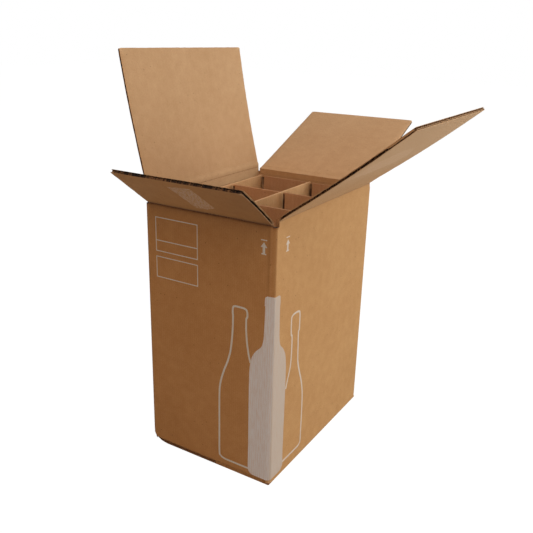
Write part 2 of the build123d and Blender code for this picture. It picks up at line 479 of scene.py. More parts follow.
# The glued lap: the back wall's end is pressed thin and turned in behind the sleeve's raw end.
# There it is glued to the inside of the left wall, so it shows only where the raw end leaves off.
tab_length = 34.0
tab_thickness = 2.6
tab_taper = 12.0
tab_bottom_gap = 3.0
tab_top_gap = 1.6
tab_bottom = 2 * board + layer_gap + tab_bottom_gap
tab_top = creases["front"] - board - tab_top_gap
tab_root = half_depth - board
tab_tip = half_depth - tab_length
tab_press = 0.4
turn_x = -half_width + board + base_fold_radius
turn_y = half_depth - base_fold_radius


def lap_face(u, v, outer):
    """The lap, round its turn from the back wall (u 1 to 2) and then along the left wall (2 to 3)."""
    taper = tab_taper * (u - 2)
    low, high = (tab_bottom + taper, tab_top - taper) if u > 2 else (base_fold_radius, slot_bottom)
    z = low + (high - low) * v
    if u > 2:
        inner_x = -half_width + board + (0.02 if outer else tab_thickness)
        return Vector((inner_x, tab_root - tab_press + (tab_tip - tab_root + tab_press) * (u - 2), z))
    turn = (u - 1) * pi / 2
    if outer:
        return Vector((turn_x - base_fold_radius * sin(turn), turn_y + base_fold_radius * cos(turn), z))
    y = tab_root - tab_press * (1 - cos(turn))
    return Vector((turn_x - (base_fold_radius - tab_thickness) * sin(turn), y, z))


lap = Blank(board_papers)
lap_columns = [1 + i / 6 for i in range(7)] + [2.001] + [2 + (i + 1) / 6 for i in range(6)]
lap.slab(lap_columns, spread(0.0, 1.0, 1 / 16), lap_face, (True, False), (OUTSIDE, INSIDE, CUT))
lap.flat = [(u * tab_length, v * slot_bottom) for u, v in lap.flat]
lap_piece = lap.make("glued_lap", merge=0.001)
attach(lap_piece, "root")

# The base: two long flaps close it from outside, and two short ones lie on them inside. All are glued.
# Each is bent in from its wall's foot, and shows its liners and open flutes at its cut ends.
base_side_gap = 1.5
long_base_span = half_depth - base_side_gap
short_base_span = half_width - corner_slot
base_flaps = [
    ("right", 94.0, 0.0, long_base_span),
    ("left", 114.4, 0.0, long_base_span),
    ("front", 104.0, board + layer_gap, short_base_span),
    ("back", 104.0, board + layer_gap, short_base_span),
]
outward = {side: -Vector((*inward, 0)) for side, begin, start, run, inward in walls}
reach_of = {"front": half_depth, "back": half_depth, "left": half_width, "right": half_width}
base_fold = base_fold_radius * pi / 2
end_recess = 2.2


def base_point(side, level, u, v, depth):
    """A point of a base flap: v runs down the last of the wall, round the fold and in along the floor."""
    radius = base_fold_radius - depth
    reach = reach_of[side]
    if side == "left":
        u *= 1 - 0.03 * (1 - ease(v, 8, 22))
    away = min(reach - base_fold_radius - (v - base_fold), reach - depth)
    z = level + depth
    if v < base_fold and radius > 0:
        turn = v / base_fold_radius
        away = reach - base_fold_radius + radius * cos(turn)
        z = level + base_fold_radius - radius * sin(turn)
    side_way = Vector((0, 0, 1)).cross(outward[side])
    return foot_dent(outward[side] * away + side_way * u + Vector((0, 0, z)))


base = Blank(board_papers)
for side, length, level, half_span in base_flaps:

    def base_corner_shade(u, v):
        """Painted shade: the right flap darkens at its front end, near the fold, under the front corner."""
        rub = exp(-(((u + long_base_span) / 4) ** 2 + (v / 7) ** 2))
        return (rub if side == "right" else 0.0), 0.0

    run = length - base_fold_radius + base_fold
    rim = OUTSIDE if side == "right" else CUT
    rows_in = spread(0.0, base_fold, 0.8) + spread(base_fold, run, 12.0)[1:]
    for top, bottom in (liners[0], (liner, board - liner), liners[1], liners[2]):
        recess = end_recess if (top, bottom) == (liner, board - liner) else 0.0
        side_end = half_span - (0.0 if side == "right" else recess)
        base.slab(
            spread(-side_end, side_end, 12.0), [min(v, run - recess) for v in rows_in],
            lambda u, v, depth: base_point(side, level, u, v, depth), (top, bottom),
            (CUT if top else OUTSIDE, INSIDE if bottom == board else CUT, rim), base_corner_shade,
        )
base_piece = base.make("base_flaps", merge=0.0005)
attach(base_piece, "root")

# The top flaps are more of the same sheet, and stand open as the photo shows them, each hinged at its crease.
# The waved sheets between the liners, a fine one outside and a coarse one inside, show at the cut tips.
# A node tree waves a flat grid, gives it the paper's thickness and closes it.
waves = bpy.data.node_groups.new("fluted_sheet", "GeometryNodeTree")
for label, kind in (
    ("Width", "Float"), ("Run", "Float"), ("Rise", "Float"), ("Pitch", "Float"), ("Paper", "Float"),
    ("Steps", "Int"), ("Rows", "Int"), ("Finish", "Material"),
):
    waves.interface.new_socket(label, in_out="INPUT", socket_type="NodeSocket" + kind)
wave_inputs = {item.name: item.identifier for item in waves.interface.items_tree}
waves.interface.new_socket("Sheet", in_out="OUTPUT", socket_type="NodeSocketGeometry")
given = waves.nodes.new("NodeGroupInput").outputs
grid = {"Size X": "Width", "Size Y": "Run", "Vertices X": "Steps", "Vertices Y": "Rows"}
stock = add_node(waves, "GeometryNodeMeshGrid", {size: given[label] for size, label in grid.items()})[0]
places = waves.nodes.new("GeometryNodeInputPosition").outputs[0]
across = add_node(waves, "ShaderNodeSeparateXYZ", {0: places})
turns = calc("MULTIPLY", calc("DIVIDE", across[0], given["Pitch"]), 2 * pi)
lift = calc("MULTIPLY", calc("COSINE", turns), calc("MULTIPLY", given["Rise"], 0.5))
offset = add_node(waves, "ShaderNodeCombineXYZ", {2: lift})[0]
waved = add_node(waves, "GeometryNodeSetPosition", {"Geometry": stock, "Offset": offset})[0]
thickness = {"Mesh": waved, "Offset Scale": given["Paper"], "Individual": False}
both = waves.nodes.new("GeometryNodeJoinGeometry")
thick = add_node(waves, "GeometryNodeExtrudeMesh", thickness, mode="FACES")
under = add_node(waves, "GeometryNodeFlipFaces", {"Mesh": waved})
for layer in (thick, under):
    waves.links.new(layer[0], both.inputs[0])
closed = add_node(waves, "GeometryNodeMergeByDistance", {"Geometry": both.outputs[0], "Distance": 0.001})
finished = add_node(waves, "GeometryNodeSetMaterial", {"Geometry": closed[0], "Material": given["Finish"]})
waves.links.new(finished[0], waves.nodes.new("NodeGroupOutput").inputs["Sheet"])
waved_paper = 0.32
steps_per_wave = 10


def fluted_sheet(width, run, layer, pitch, rows_along):
    """A waved sheet in mm, centred on its own plane, that fills a layer between two liners."""
    blank = add_object("fluted", bpy.data.meshes.new("fluted"))
    rolls = blank.modifiers.new("waves", "NODES")
    rolls.node_group = waves
    sizes = {
        "Width": width, "Run": run, "Rise": layer - waved_paper, "Pitch": pitch, "Paper": waved_paper,
        "Steps": int(width / pitch * steps_per_wave) + 1, "Rows": rows_along, "Finish": fluting,
    }
    for label, value in sizes.items():
        rolls[wave_inputs[label]] = value
    mesh = bpy.data.meshes.new_from_object(blank.evaluated_get(bpy.context.evaluated_depsgraph_get()))
    bpy.data.objects.remove(blank)
    return mesh


mid_liner = liners[1]
coarse_flute = board - liner - mid_liner[1]
tip_radius = 2.0
short_span = half_width - corner_slot
long_span = half_depth - corner_slot
top_flaps = {
    "front": (86.5, 37.0, short_span),
    "back": (198.5, 23.5, short_span),
    "left": (192.0, 77.1, long_span),
    "right": (203.0, 37.7, long_span),
}
pressed_sides = {"front": 0.02, "back": 0.45, "left": 0.45, "right": 0.15}
side_recess = {"front": 2.4, "back": 1.2, "left": 1.0, "right": 1.9}
tip_recess = 0.6
# Share of the painted shade inside the board that reaches right to each flap's cut tip.
tip_dark = {"front": 0.65, "back": 0.4, "left": 0.4, "right": 0.1}
crushed = {"front": 0.8, "back": 1.0, "left": 1.5, "right": 0.9}
bow = {"front": 1.0, "back": 0.9, "left": -2.2, "right": -2.0}
straight_start = 17


def flap_bow(side, u, v):
    """How a flap gives out of its plane towards its inner face; the long ones give outward, clear of it."""
    length, lean, span = top_flaps[side]
    share = v / length
    if side == "right":
        share = (v - straight_start) / (length - straight_start)
    if side in ("left", "right"):
        share = min(max(share, 0.0), 1.0)
    arch = bow[side] * max(sin(pi * share), 0.0) ** 0.8 if side == "left" else bow[side] * sin(pi * share)
    if side == "front":
        arch *= ease(-u, -10, span)
    if side == "back":
        arch *= sin(pi * (u + span) / (2 * span))
    return arch


def flap_frame(side):
    """Hinge point, and the directions across the flap, along it and through it to its inner face."""
    out = outward[side]
    lean = radians(top_flaps[side][1])
    along = out * cos(lean) + Vector((0, 0, sin(lean)))
    through = -out * sin(lean) + Vector((0, 0, cos(lean)))
    return out * reach_of[side] + Vector((0, 0, creases[side])), along.cross(through), along, through


def flap_point(side, u, v, depth):
    """A point of a flap: u across, v along from the crease, depth from its outer face to its inner one."""
    length, lean, span = top_flaps[side]
    hinge, across_way, along, through = flap_frame(side)
    squeeze = pressed_sides[side] + 0.15 * uneven(u / 6, v / 6, length / 50)
    squeeze = max(squeeze * exp(-max(span - abs(u), 0) / 2.5), 0.0) + 0.05 * exp(-max(length - v, 0) / 2)
    depth = board / 2 + (depth - board / 2) * (1 - squeeze)
    depth += score_depth * crease_mark[side] * exp(-(v / 1.1) ** 2) * (1 - depth / board)
    return hinge + across_way * u + along * v + through * (depth + flap_bow(side, u, v))


for side, (length, lean, span) in top_flaps.items():

    def cut_point(u, v, depth):
        """A point of the flap as it is cut: rounded tip corners and a slightly uneven edge."""
        from_corner = v - (length - tip_radius)
        if from_corner > 0:
            narrow = tip_radius - (max(tip_radius ** 2 - from_corner ** 2, 0.0)) ** 0.5
            u *= (span - narrow) / span
        if side == "left" and u > 0:
            u *= 1 + 0.02 * v / length
        v -= 0.25 * ease(v, length - 6, length) * (1 + uneven(u / 7, span, 0.3))
        return flap_point(side, u, v, depth)

    def crushed_point(u, v, crushed_in):
        """The side edges are crushed pale under the inner liner; the right flap's are torn near its tip."""
        deep = 0.02
        if crushed_in:
            deep = crushed[side] * (0.6 + 1.1 * uneven(u, v / 5, span))
            if side == "right":
                deep += 1.7 * ease(v, 0.8 * length, 0.84 * length)
            deep = max(deep, 0.1)
        return flap_point(side, u, v, board - liner - deep)

    def flap_wear_and_shade(u, v):
        """A band along the crease, darker partly from pressing and partly as painted shade, a dark line along
        the very tip, and frayed corners and side edges.
        """
        mark = crease_mark[side]
        # A darker band along the crease: partly pressed board, partly painted shade.
        rub = max(0.25 * mark * exp(-(max(v - 3, 0) / 4) ** 2), mark * exp(-(v / 1.6) ** 2))
        rub = max(rub, 0.55 * exp(-((length - v) / 0.3) ** 2))
        corner = hypot((abs(u) - span) / 7, (v - length) / 7)
        scuff = max(0.8 * exp(-corner ** 2), 0.4 * exp(-((span - abs(u)) / 0.9) ** 2))
        inside = low > board / 2
        low_down = (1 - v / length) ** 2
        # Painted shade: the left flap's inside is a little darker all over, more towards the crease.
        if inside and side == "left":
            rub += 0.06 + 0.3 * low_down
        # Painted shade: the back flap's inside darkens towards the crease; it also grows paler towards its
        # tip.
        if inside and side == "back":
            rub += 0.12 * low_down
            scuff = max(scuff, 0.45 * v / length)
        # Painted shade: the front flap's outside is a little darker all over, more towards its right end.
        if side == "front" and not inside:
            rub += 0.06 + 0.3 * ease(-u, -30, span)
        # The right flap's outside is paler all over, most towards its tip.
        if side == "right" and not inside:
            scuff = max(scuff, 0.65 + 0.4 * ease(v, 0.2 * length, 0.6 * length))
        return min(rub, 1.0), scuff

    def flap_shade(u, v):
        """Inside the board it grows dark away from the cut edges."""
        tip = tip_dark[side] + (1 - tip_dark[side]) * ease(length - v, 0.2, 2.5)
        return tip * ease(span - abs(u), 0.3, 2.0) * (0.62 if side == "right" else 1.0), 0.0

    flap = Blank(board_papers)
    # The front flap's tip faces take the waved sheets' dark paper, painted shade at its cut edge; the others
    # take the inner liner.
    tip_finish = CUT if side == "front" else INSIDE
    near_side = [-span, -span + 0.8, -span + 2, -span + 5]
    stations = near_side + spread(-span + 10, span - 10, 8.0) + [-s for s in near_side[::-1]]
    for low, high, top_finish, bottom_finish, side_finish, narrow in (
        (*liners[0], CUT, OUTSIDE, INSIDE, 1.0),
        (*mid_liner, CUT, CUT, CUT, 1 - 1.6 / span),
        (*liners[2], INSIDE, CUT, INSIDE, 1.0),
    ):
        start = crease_mitre * high + 0.5 + 0.4 * crease_mark[side]
        lengths = spread(start, start + 6, 1.5) + spread(start + 10, length - 10, 8.0)
        lengths += [length - 6] + [length - tip_radius * share for share in (1.0, 0.6, 0.3, 0.1, 0.0)]
        columns = [u * narrow for u in stations]
        finishes = (top_finish, bottom_finish, tip_finish, side_finish)
        flap.slab(columns, lengths, cut_point, (high, low), finishes, flap_wear_and_shade, flap_shade)
    lengths = spread(crease_mitre * board + 1.0, length - 2.5, 2.5)
    for middle in (span - 0.875, 0.875 - span):
        columns = (middle - 0.825, middle, middle + 0.825)
        flap.slab(columns, lengths, crushed_point, (False, True), (INSIDE,) * 3)
    for low, layer, pitch in ((liner, fine_flute, fine_pitch), (mid_liner[1], coarse_flute, coarse_pitch)):
        start = crease_mitre * board
        run = length - start - tip_recess
        sheet = fluted_sheet(2 * (span - side_recess[side]), run, layer, pitch, 12)

        def row_place(co):
            """Rows of the sheet stand closer together towards the tip."""
            ragged = 0.6 * uneven(co.x / 2.3, span, layer) * ease(co.y, run / 2 - 4, run / 2)
            return start + run * (1 - max(0.5 - co.y / run, 0.0) ** 2.5) - max(ragged, 0.1 - tip_recess)

        flap.add_mesh(
            sheet,
            lambda co: flap_point(side, co.x, row_place(co), low + (layer - waved_paper) / 2 + co.z),
            lambda co: (co.x, row_place(co)), CUT, lambda co: flap_shade(0.0, row_place(co))[0],
        )
    flap_piece = flap.make(f"top_flap_{side}")
    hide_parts(f"flap_{side}")
    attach(flap_piece, f"{side}_flap")

# The scored creases: the board is pressed to under half its thickness along a band, so that it folds there.
# Its inner liner bridges the fold from the wall to the flap, and bends with it.
band = 7.2
proud = 0.1
for side, (length, lean, span) in top_flaps.items():
    hinge, across_way, along, through = flap_frame(side)
    inward = -outward[side]
    mark = crease_mark[side]
    fold_steps = 3 if side == "left" else 2
    pressed_board = 4.3 if side == "left" else board / cos(radians(90 - lean) / 2) - 0.25

    def flap_side(u, v, depth):
        """A point of the crease that stays with the flap and its bow: x inward and y up from the hinge."""
        local = flap_point(side, u, v, depth) - hinge - across_way * u
        return Vector((local.dot(inward), local.z))

    crease = Blank(board_papers)
    rings = []
    for u in spread(-span + 0.2, span - 0.2, 6.0):
        first = Vector((board - 0.2, -3.4))
        last = flap_side(u, 3.4, board - 0.2)
        start_turn, end_turn = atan2(first.y, first.x), atan2(last.y, last.x)
        if end_turn < start_turn:
            end_turn += 2 * pi
        on_wall = (
            (0.3 + 0.9 * mark, 0.6 + 1.3 * mark), (board - 0.3, band), (board + proud, band),
            (board + proud, band - 1.0), (board - 0.1, band - 1.4), (board - 0.15, 4.2),
        )
        on_flap = (
            (band - 1.4, board - 0.1), (band - 1.0, board + proud), (band, board + proud),
            (band, board - 0.3), (0.9, 0.6),
        )
        loop = [Vector((depth, -drop)) for depth, drop in on_wall]
        for step in range(fold_steps + 1):
            share = step / fold_steps
            turn = start_turn + (end_turn - start_turn) * share
            radius = first.length + (last.length - first.length) * share
            radius += (pressed_board + 0.25 * uneven(u / 9, span, 5.1) - radius) * sin(pi * share) ** 0.7
            loop.append(Vector((cos(turn), sin(turn))) * radius)
        loop += [flap_side(u, v, depth) for v, depth in on_flap]
        ring = []
        around = 0.0
        for i, p in enumerate(loop):
            around += (p - loop[i - 1]).length if i else 0.0
            place = hinge + across_way * u + inward * p.x + Vector((0, 0, p.y))
            # The crease darkens, most at its outer edges and a little all round: partly pressed board, partly
            # painted shade.
            pressed_and_shade = 0.45 * mark if i in (0, len(loop) - 1) else 0.12
            if side == "left" and i in (5, 6):
                pressed_and_shade = 0.25
            ring.append(crease.point(place, (u, around), pressed_and_shade))
        rings.append(ring)
    corners = len(rings[0])
    for one, two in zip(rings, rings[1:]):
        for i in range(corners):
            j = (i + 1) % corners
            # The outer valley, and on the left a line where the inner liner turns, take the waved sheets'
            # dark paper: partly pressed crease, partly painted shade.
            dark_crease_line = i == corners - 1 or side == "left" and i == 5
            crease.face((one[i], one[j], two[j], two[i]), CUT if dark_crease_line else INSIDE)
    crease.face(tuple(rings[0]), CUT)
    crease.face(tuple(rings[-1]), CUT)
    crease_piece = crease.make(f"crease_{side}", smooth=16.0)
    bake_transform(crease_piece)

# The insert: seven strips of thinner single-wall board, slotted into each other to make six cells, unglued.
# The long strips are slotted from below and the cross strips from above, with flared mouths.
strip_board = 3.0
strip_paper = 0.35
strip_pitch = 6.5
strip_lean = 0.9
slot_width = 6.0
slot_lead = 1.5
slot_play = 1.0
insert_floor = 2 * board + layer_gap
fluted_depth = 26.0
slot_shade_width = 3.8
strip_rubbed = (84, 53, 31)
long_liner = kraft("strip_liner", (182, 140, 96), (202, 162, 118), strip_rubbed, strip_pitch, 0.14)
# The middle strip's liner is a lighter copy of the long strips' one: painted light on the middle strip.
middle_liner_painted_light = kraft("middle_liner_painted_light", (202, 158, 110), (222, 184, 136), strip_rubbed, strip_pitch, 0.14)
cross_liner = kraft("cross_liner", (180, 139, 105), (200, 161, 127), strip_rubbed, strip_pitch, 0.14)
# The back strip's liner is a darker copy of the cross strips' one: painted shade on the back strip.
back_liner_painted_shade = kraft("back_liner_painted_shade", (167, 128, 96), (186, 149, 117), strip_rubbed, strip_pitch, 0.14)
# The darkest tone of the strips' waved sheet is painted shade beside the slots.
strip_fluting = kraft("strip_fluting", (184, 155, 120), (204, 176, 141), (60, 42, 28), strip_pitch, 0.0)
LINER, FLUTES = 0, 1


def sheet_outline(loops, step_x, step_z, keep=()):
    """Points and triangles of a flat shape with the given outlines, with points inside for it to bend at."""
    flat = []
    edges = []
    for loop in loops:
        first = len(flat)
        for start, end in zip(loop, loop[1:] + loop[:1]):
            count = max(1, ceil(max(abs(end[0] - start[0]) / step_x, abs(end[1] - start[1]) / step_z)))
            stops = {i / count for i in range(count)}
            near, far = sorted((start[0], end[0]))
            stops |= {(k - start[0]) / (end[0] - start[0]) for k in keep if near + 0.02 < k < far - 0.02}
            flat += [Vector(start).lerp(Vector(end), stop) for stop in sorted(stops)]
        edges += [(i, i + 1) for i in range(first, len(flat) - 1)] + [(len(flat) - 1, first)]
    border = [(flat[a], flat[b]) for a, b in edges]

    def inside(x, z):
        odd = False
        for a, b in border:
            if (a.y > z) != (b.y > z) and x < a.x + (b.x - a.x) * (z - a.y) / (b.y - a.y):
                odd = not odd
        return odd

    low_x, high_x = min(p.x for p in flat), max(p.x for p in flat)
    low_z, high_z = min(p.y for p in flat), max(p.y for p in flat)
    for x in sorted(set(spread(low_x, high_x, step_x)[1:-1]) | {k for k in keep if low_x < k < high_x}):
        flat += [Vector((x, z)) for z in spread(low_z, high_z, step_z)[1:-1] if inside(x, z)]
    made, _, triangles, *_ = delaunay_2d_cdt(flat, edges, [], 0, 1e-5)
    middles = [sum((made[i] for i in corners), Vector((0, 0))) / 3 for corners in triangles]
    return made, [corners for corners, middle in zip(triangles, middles) if inside(*middle)]


def cut_sheet(blank, cut, surface, depths):
    """A closed sheet of a flat cut shape between two depths of a surface, added to a piece of board."""
    made, triangles = cut
    over, under = ([blank.point(surface(*p, depth), tuple(p)) for p in made] for depth in depths)
    borders = {}
    for a, b, c in triangles:
        blank.face((over[a], over[b], over[c]), LINER)
        blank.face((under[c], under[b], under[a]), LINER)
        for start, end in ((a, b), (b, c), (c, a)):
            if not borders.pop((end, start), False):
                borders[(start, end)] = True
    for start, end in borders:
        blank.face((over[start], under[start], under[end], over[end]), LINER)


def strip_comb(half_length, low, high, places, from_above):
    """Outline of one strip with its slots, and the stretches of uncut edge between them."""
    half = slot_width / 2
    mouth, far, way = (high, low, -1) if from_above else (low, high, 1)
    lead = mouth + way * slot_lead
    deep = mouth + way * ((high - low) / 2 + slot_play)
    outline = [(-half_length, far), (-half_length, mouth)]
    ends = [-half_length]
    for place in places:
        before = [(place - half - slot_lead, mouth), (place - half, lead), (place - half, deep)]
        outline += before + [(2 * place - x, z) for x, z in before[::-1]]
        ends += [place - half - slot_lead, place + half + slot_lead]
    ends.append(half_length)
    return outline + [(half_length, mouth), (half_length, far)], list(zip(ends[::2], ends[1::2]))


def divider(name, paper, places, middle, fixed, lengthwise, seed):
    """One strip of the insert: two liners with a waved sheet between them, crushed a little at the edges."""
    low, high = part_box(name)
    half_length = ((high.y - low.y) if lengthwise else (high.x - low.x)) / 2 / MILLIMETRE
    bottom, top = low.z / MILLIMETRE, high.z / MILLIMETRE
    outline, stretches = strip_comb(half_length, bottom, top, places, not lengthwise)
    cut = sheet_outline([outline], 14.0, 22.0)
    strip = Blank([paper, strip_fluting])

    def place(t, z, side):
        """A point of the strip, which leans and waves a little between the strips that it crosses."""
        give = 0.5 * ease(z, insert_floor, insert_floor + 200) * uneven(t / 60, z / 130, seed)
        if lengthwise:
            return Vector((fixed + side + give, middle + t, z))
        return Vector((middle + t, fixed - side + give, z))

    half = strip_board / 2
    half_gap = half - strip_paper
    cut_sheet(strip, cut, place, (half, half_gap))
    cut_sheet(strip, cut, place, (-half_gap, -half))
    if not lengthwise:
        # Dark sheets lie along both edges of each slot, on both faces of the strip: painted shade along the
        # slots.
        heights = spread((bottom + top) / 2, top - slot_lead - 0.5, 22.0)
        for p, out, face in [(p, out, face) for p in places for out in (-1, 1) for face in (-half, half)]:
            beside = sorted((p + out * (slot_width / 2 + 0.05), p + out * (slot_width / 2 + slot_shade_width)))
            depths = (face + 0.04, face - 0.04)
            strip.slab(beside, heights, place, depths, (FLUTES,) * 3, lambda t, z: (1.0, 0.0))
    whole = [(-half_length, half_length)]
    near_top, near_bottom = (whole, stretches) if lengthwise else (stretches, whole)
    for (start, end), edge, way in [(s, top, -1) for s in near_top] + [(s, bottom, 1) for s in near_bottom]:
        if end - start < strip_pitch / 2:
            continue
        sheet = fluted_sheet(end - start - 0.4, fluted_depth, 2 * half_gap, strip_pitch, 3)
        across = spread(start + 0.3, end - 0.3, 9.0)
        strip.slab(across, (edge + way * 1.6, edge + way * 0.4), place, (half_gap, -half_gap), (FLUTES,) * 3)
        along = edge + way * (fluted_depth / 2 + 1.7)
        centre = (start + end) / 2
        strip.add_mesh(
            sheet, lambda co: place(centre + co.x, along + way * co.y, co.z - waved_paper / 2),
            lambda co: (centre + co.x, co.y), FLUTES,
        )
    piece = strip.make("strip_" + name.removeprefix("divider_"))
    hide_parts(name)
    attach(piece, "root")


def centre_of(name, axis):
    low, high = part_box(name)
    return (low[axis] + high[axis]) / 2 / MILLIMETRE


long_strips = {"left": long_liner, "middle": middle_liner_painted_light, "right": long_liner}
cross_strips = dict.fromkeys(("front", "front_middle", "back_middle"), cross_liner) | {"back": back_liner_painted_shade}
long_slots = [centre_of(f"divider_cross_{which}", 1) for which in cross_strips]
for number, (which, paper) in enumerate(long_strips.items()):
    name = f"divider_long_{which}"
    divider(name, paper, long_slots, 0.0, centre_of(name, 0), True, number + 1.5)
cross_middle = centre_of("divider_cross_front", 0)
cross_slots = [centre_of(f"divider_long_{which}", 0) + strip_lean - cross_middle for which in long_strips]
for number, (which, paper) in enumerate(cross_strips.items()):
    name = f"divider_cross_{which}"
    divider(name, paper, cross_slots, cross_middle, centre_of(name, 1), False, number + 7.5)

# The print: pale ink laid on the front and right walls by a rubber plate, thin over the flutes' hollows.
# A full bottle shape wraps round the front corner between two outlined ones, with up arrows above.
ink_film = 0.05
ink_bed = 0.06


def printed(name, tone, tone_right):
    """Ink that the paper shows through in streaks. Its front tone is paler and cooler than its right one:
    painted sheen on the shaded front wall.
    """
    material, tree, flat = new_paper(name)
    drift = mottle(flat, 22.0)
    wave = flute_lines(flat, fine_pitch, calc("MULTIPLY", drift, 2.2))
    streak = fibres(flat, 900.0, 60.0, 0.0, 5.0)
    grain = fibres(flat, 1300.0, 900.0, 0.4, 8.0)
    thin = calc("MULTIPLY_ADD", streak, 0.9, calc("MULTIPLY", grain, 0.6))
    thin = calc("MULTIPLY_ADD", wave, 0.07, thin)
    bare = calc("SUBTRACT", 1.0, ramp(thin, 0.45, 0.95))
    share = calc("SUBTRACT", 1.0, calc("MULTIPLY", bare, 0.3))
    across = add_node(tree, "ShaderNodeSeparateXYZ", {0: flat})[0]
    # The ink's tone changes at the front corner: painted sheen makes it paler on the front wall.
    ink = blend_tone(ramp(across, -0.004, 0.004), tone, tone_right)
    paper = blend_tone(drift, (178, 131, 84), (196, 151, 102))
    height = calc("ADD", grain, wave)
    finish_paper(tree, blend_tone(share, paper, ink), height, 0.15, 0.0002, 0.62, 0.35)
    return material


# Each ink's first tone, for the front wall, carries painted sheen; the second is for the right wall.
pale_ink = printed("pale_ink", (222, 230, 236), (186, 174, 161))
line_ink = printed("line_ink", (214, 223, 219), (206, 196, 182))
corner_stations = [i * 0.8 - 12.0 for i in range(31)]


def print_on_sleeve(name, ink, loops, step=7.0):
    """Lays one printed shape on the walls, as a film just proud of the paper."""
    film = Blank([ink])
    cut_sheet(film, sheet_outline(loops, step, 8.0, corner_stations), sleeve_point, (-ink_film, ink_bed))
    piece = film.make(name)
    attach(piece, "root")


def smooth_line(points, steps=4):
    """A curve through given points, as short straight steps."""
    padded = [Vector(p) for p in points[:1] + points + points[-1:]]
    line = []
    for a, b, c, d in zip(padded, padded[1:], padded[2:], padded[3:]):
        for t in (i / steps for i in range(steps)):
            bend = (2 * a - 5 * b + 4 * c - d) * t ** 2 + (3 * b - a - 3 * c + d) * t ** 3
            line.append(tuple(0.5 * (2 * b + (c - a) * t + bend)))
    return line + [points[-1]]


def stroke(line, width):
    """Outline of a line drawn with a pen of one width."""
    left, right = [], []
    for i, point in enumerate(line):
        way = (Vector(line[min(i + 1, len(line) - 1)]) - Vector(line[max(i - 1, 0)])).normalized()
        side = Vector((-way.y, way.x)) * width / 2
        left.append(tuple(Vector(point) + side))
        right.append(tuple(Vector(point) - side))
    return left + right[::-1]


solid_middle = 0.8
solid_half = smooth_line([
    (11.0, 284.0), (13.6, 282.5), (14.6, 280.0), (14.8, 270.0), (14.0, 268.0), (14.6, 240.0), (15.6, 222.0),
    (18.6, 211.0), (25.0, 204.5), (30.5, 197.0), (34.4, 187.0), (36.2, 172.0), (36.6, 150.0), (36.4, 60.0),
    (36.2, 20.0), (34.5, 12.0), (29.0, 8.0),
])
full_bottle = [(solid_middle + x, z) for x, z in solid_half]
full_bottle += [(solid_middle - x, z) for x, z in solid_half[::-1]]
print_on_sleeve("print_full_bottle", pale_ink, [full_bottle])
# The outlined bottles are drawn from the middle of each wall.
outlined_front = smooth_line([(x - half_width, z) for x, z in (
    (69.5, 16.0), (40.0, 16.0), (29.0, 16.4), (22.5, 19.0), (20.0, 26.0), (19.9, 70.0), (20.0, 118.0),
    (21.6, 138.0), (27.6, 159.0), (34.0, 176.0), (38.6, 195.0), (41.2, 222.0), (41.8, 244.0), (41.2, 247.5),
    (41.4, 255.0), (43.5, 258.4), (52.0, 259.2), (61.0, 258.6), (64.0, 255.0), (64.3, 248.0), (62.7, 244.0),
    (62.9, 228.0), (64.6, 210.0), (67.4, 194.0), (70.4, 183.0),
)], 5)
outlined_right = smooth_line([(y + half_depth, z) for y, z in (
    (-106.0, 136.0), (-102.6, 147.0), (-98.0, 159.0), (-94.6, 172.0), (-93.6, 190.0), (-93.8, 211.0),
    (-96.2, 215.0), (-96.8, 236.0), (-94.4, 241.5), (-85.0, 243.0), (-75.6, 241.5), (-73.4, 236.0),
    (-73.8, 215.0), (-76.0, 211.0), (-75.8, 190.0), (-74.6, 166.0), (-69.6, 149.0), (-62.6, 131.0),
    (-57.4, 111.0), (-55.6, 88.0), (-55.4, 30.0), (-57.8, 21.5), (-64.0, 19.0), (-85.0, 18.8), (-109.0, 18.8),
)], 5)
print_on_sleeve("print_outlined_bottle_front", line_ink, [stroke(outlined_front, 2.8)])
print_on_sleeve("print_outlined_bottle_right", line_ink, [stroke(outlined_right, 3.0)])


def box_loop(left, right, low, high):
    return [(left, low), (right, low), (right, high), (left, high)]


def up_arrow(middle):
    """The usual mark for which way up: an arrow with a bar over its tip."""
    half = [(3.6, 338.2), (3.6, 339.9), (1.8, 339.9), (1.8, 347.7), (4.9, 347.7)]
    arrow = [(middle - x, z) for x, z in half] + [(middle, 354.4)] + [(middle + x, z) for x, z in half[::-1]]
    return [arrow, box_loop(middle - 4.4, middle + 4.4, 356.6, 357.9)]


print_on_sleeve("print_up_arrow_front", line_ink, up_arrow(87.0 - half_width))
print_on_sleeve("print_up_arrow_right", line_ink, up_arrow(half_depth - 115.2))


def ruled_panel(levels, line=1.3):
    """An empty panel for writing on: a frame with plain rules across it at the given heights."""
    left, right = -87.0 - half_width, -15.4 - half_width
    loops = [box_loop(left, right, levels[0], levels[-1])]
    for under, over in zip(levels, levels[1:]):
        low_line = line if under == levels[0] else line / 2
        high_line = line if over == levels[-1] else line / 2
        loops.append(box_loop(left + line, right - line, under + low_line, over - high_line))
    return loops


print_on_sleeve("print_panel_upper", line_ink, ruled_panel((310.6, 326.4, 359.6)), 9.0)
print_on_sleeve("print_panel_lower", line_ink, ruled_panel((272.5, 303.6)), 9.0)

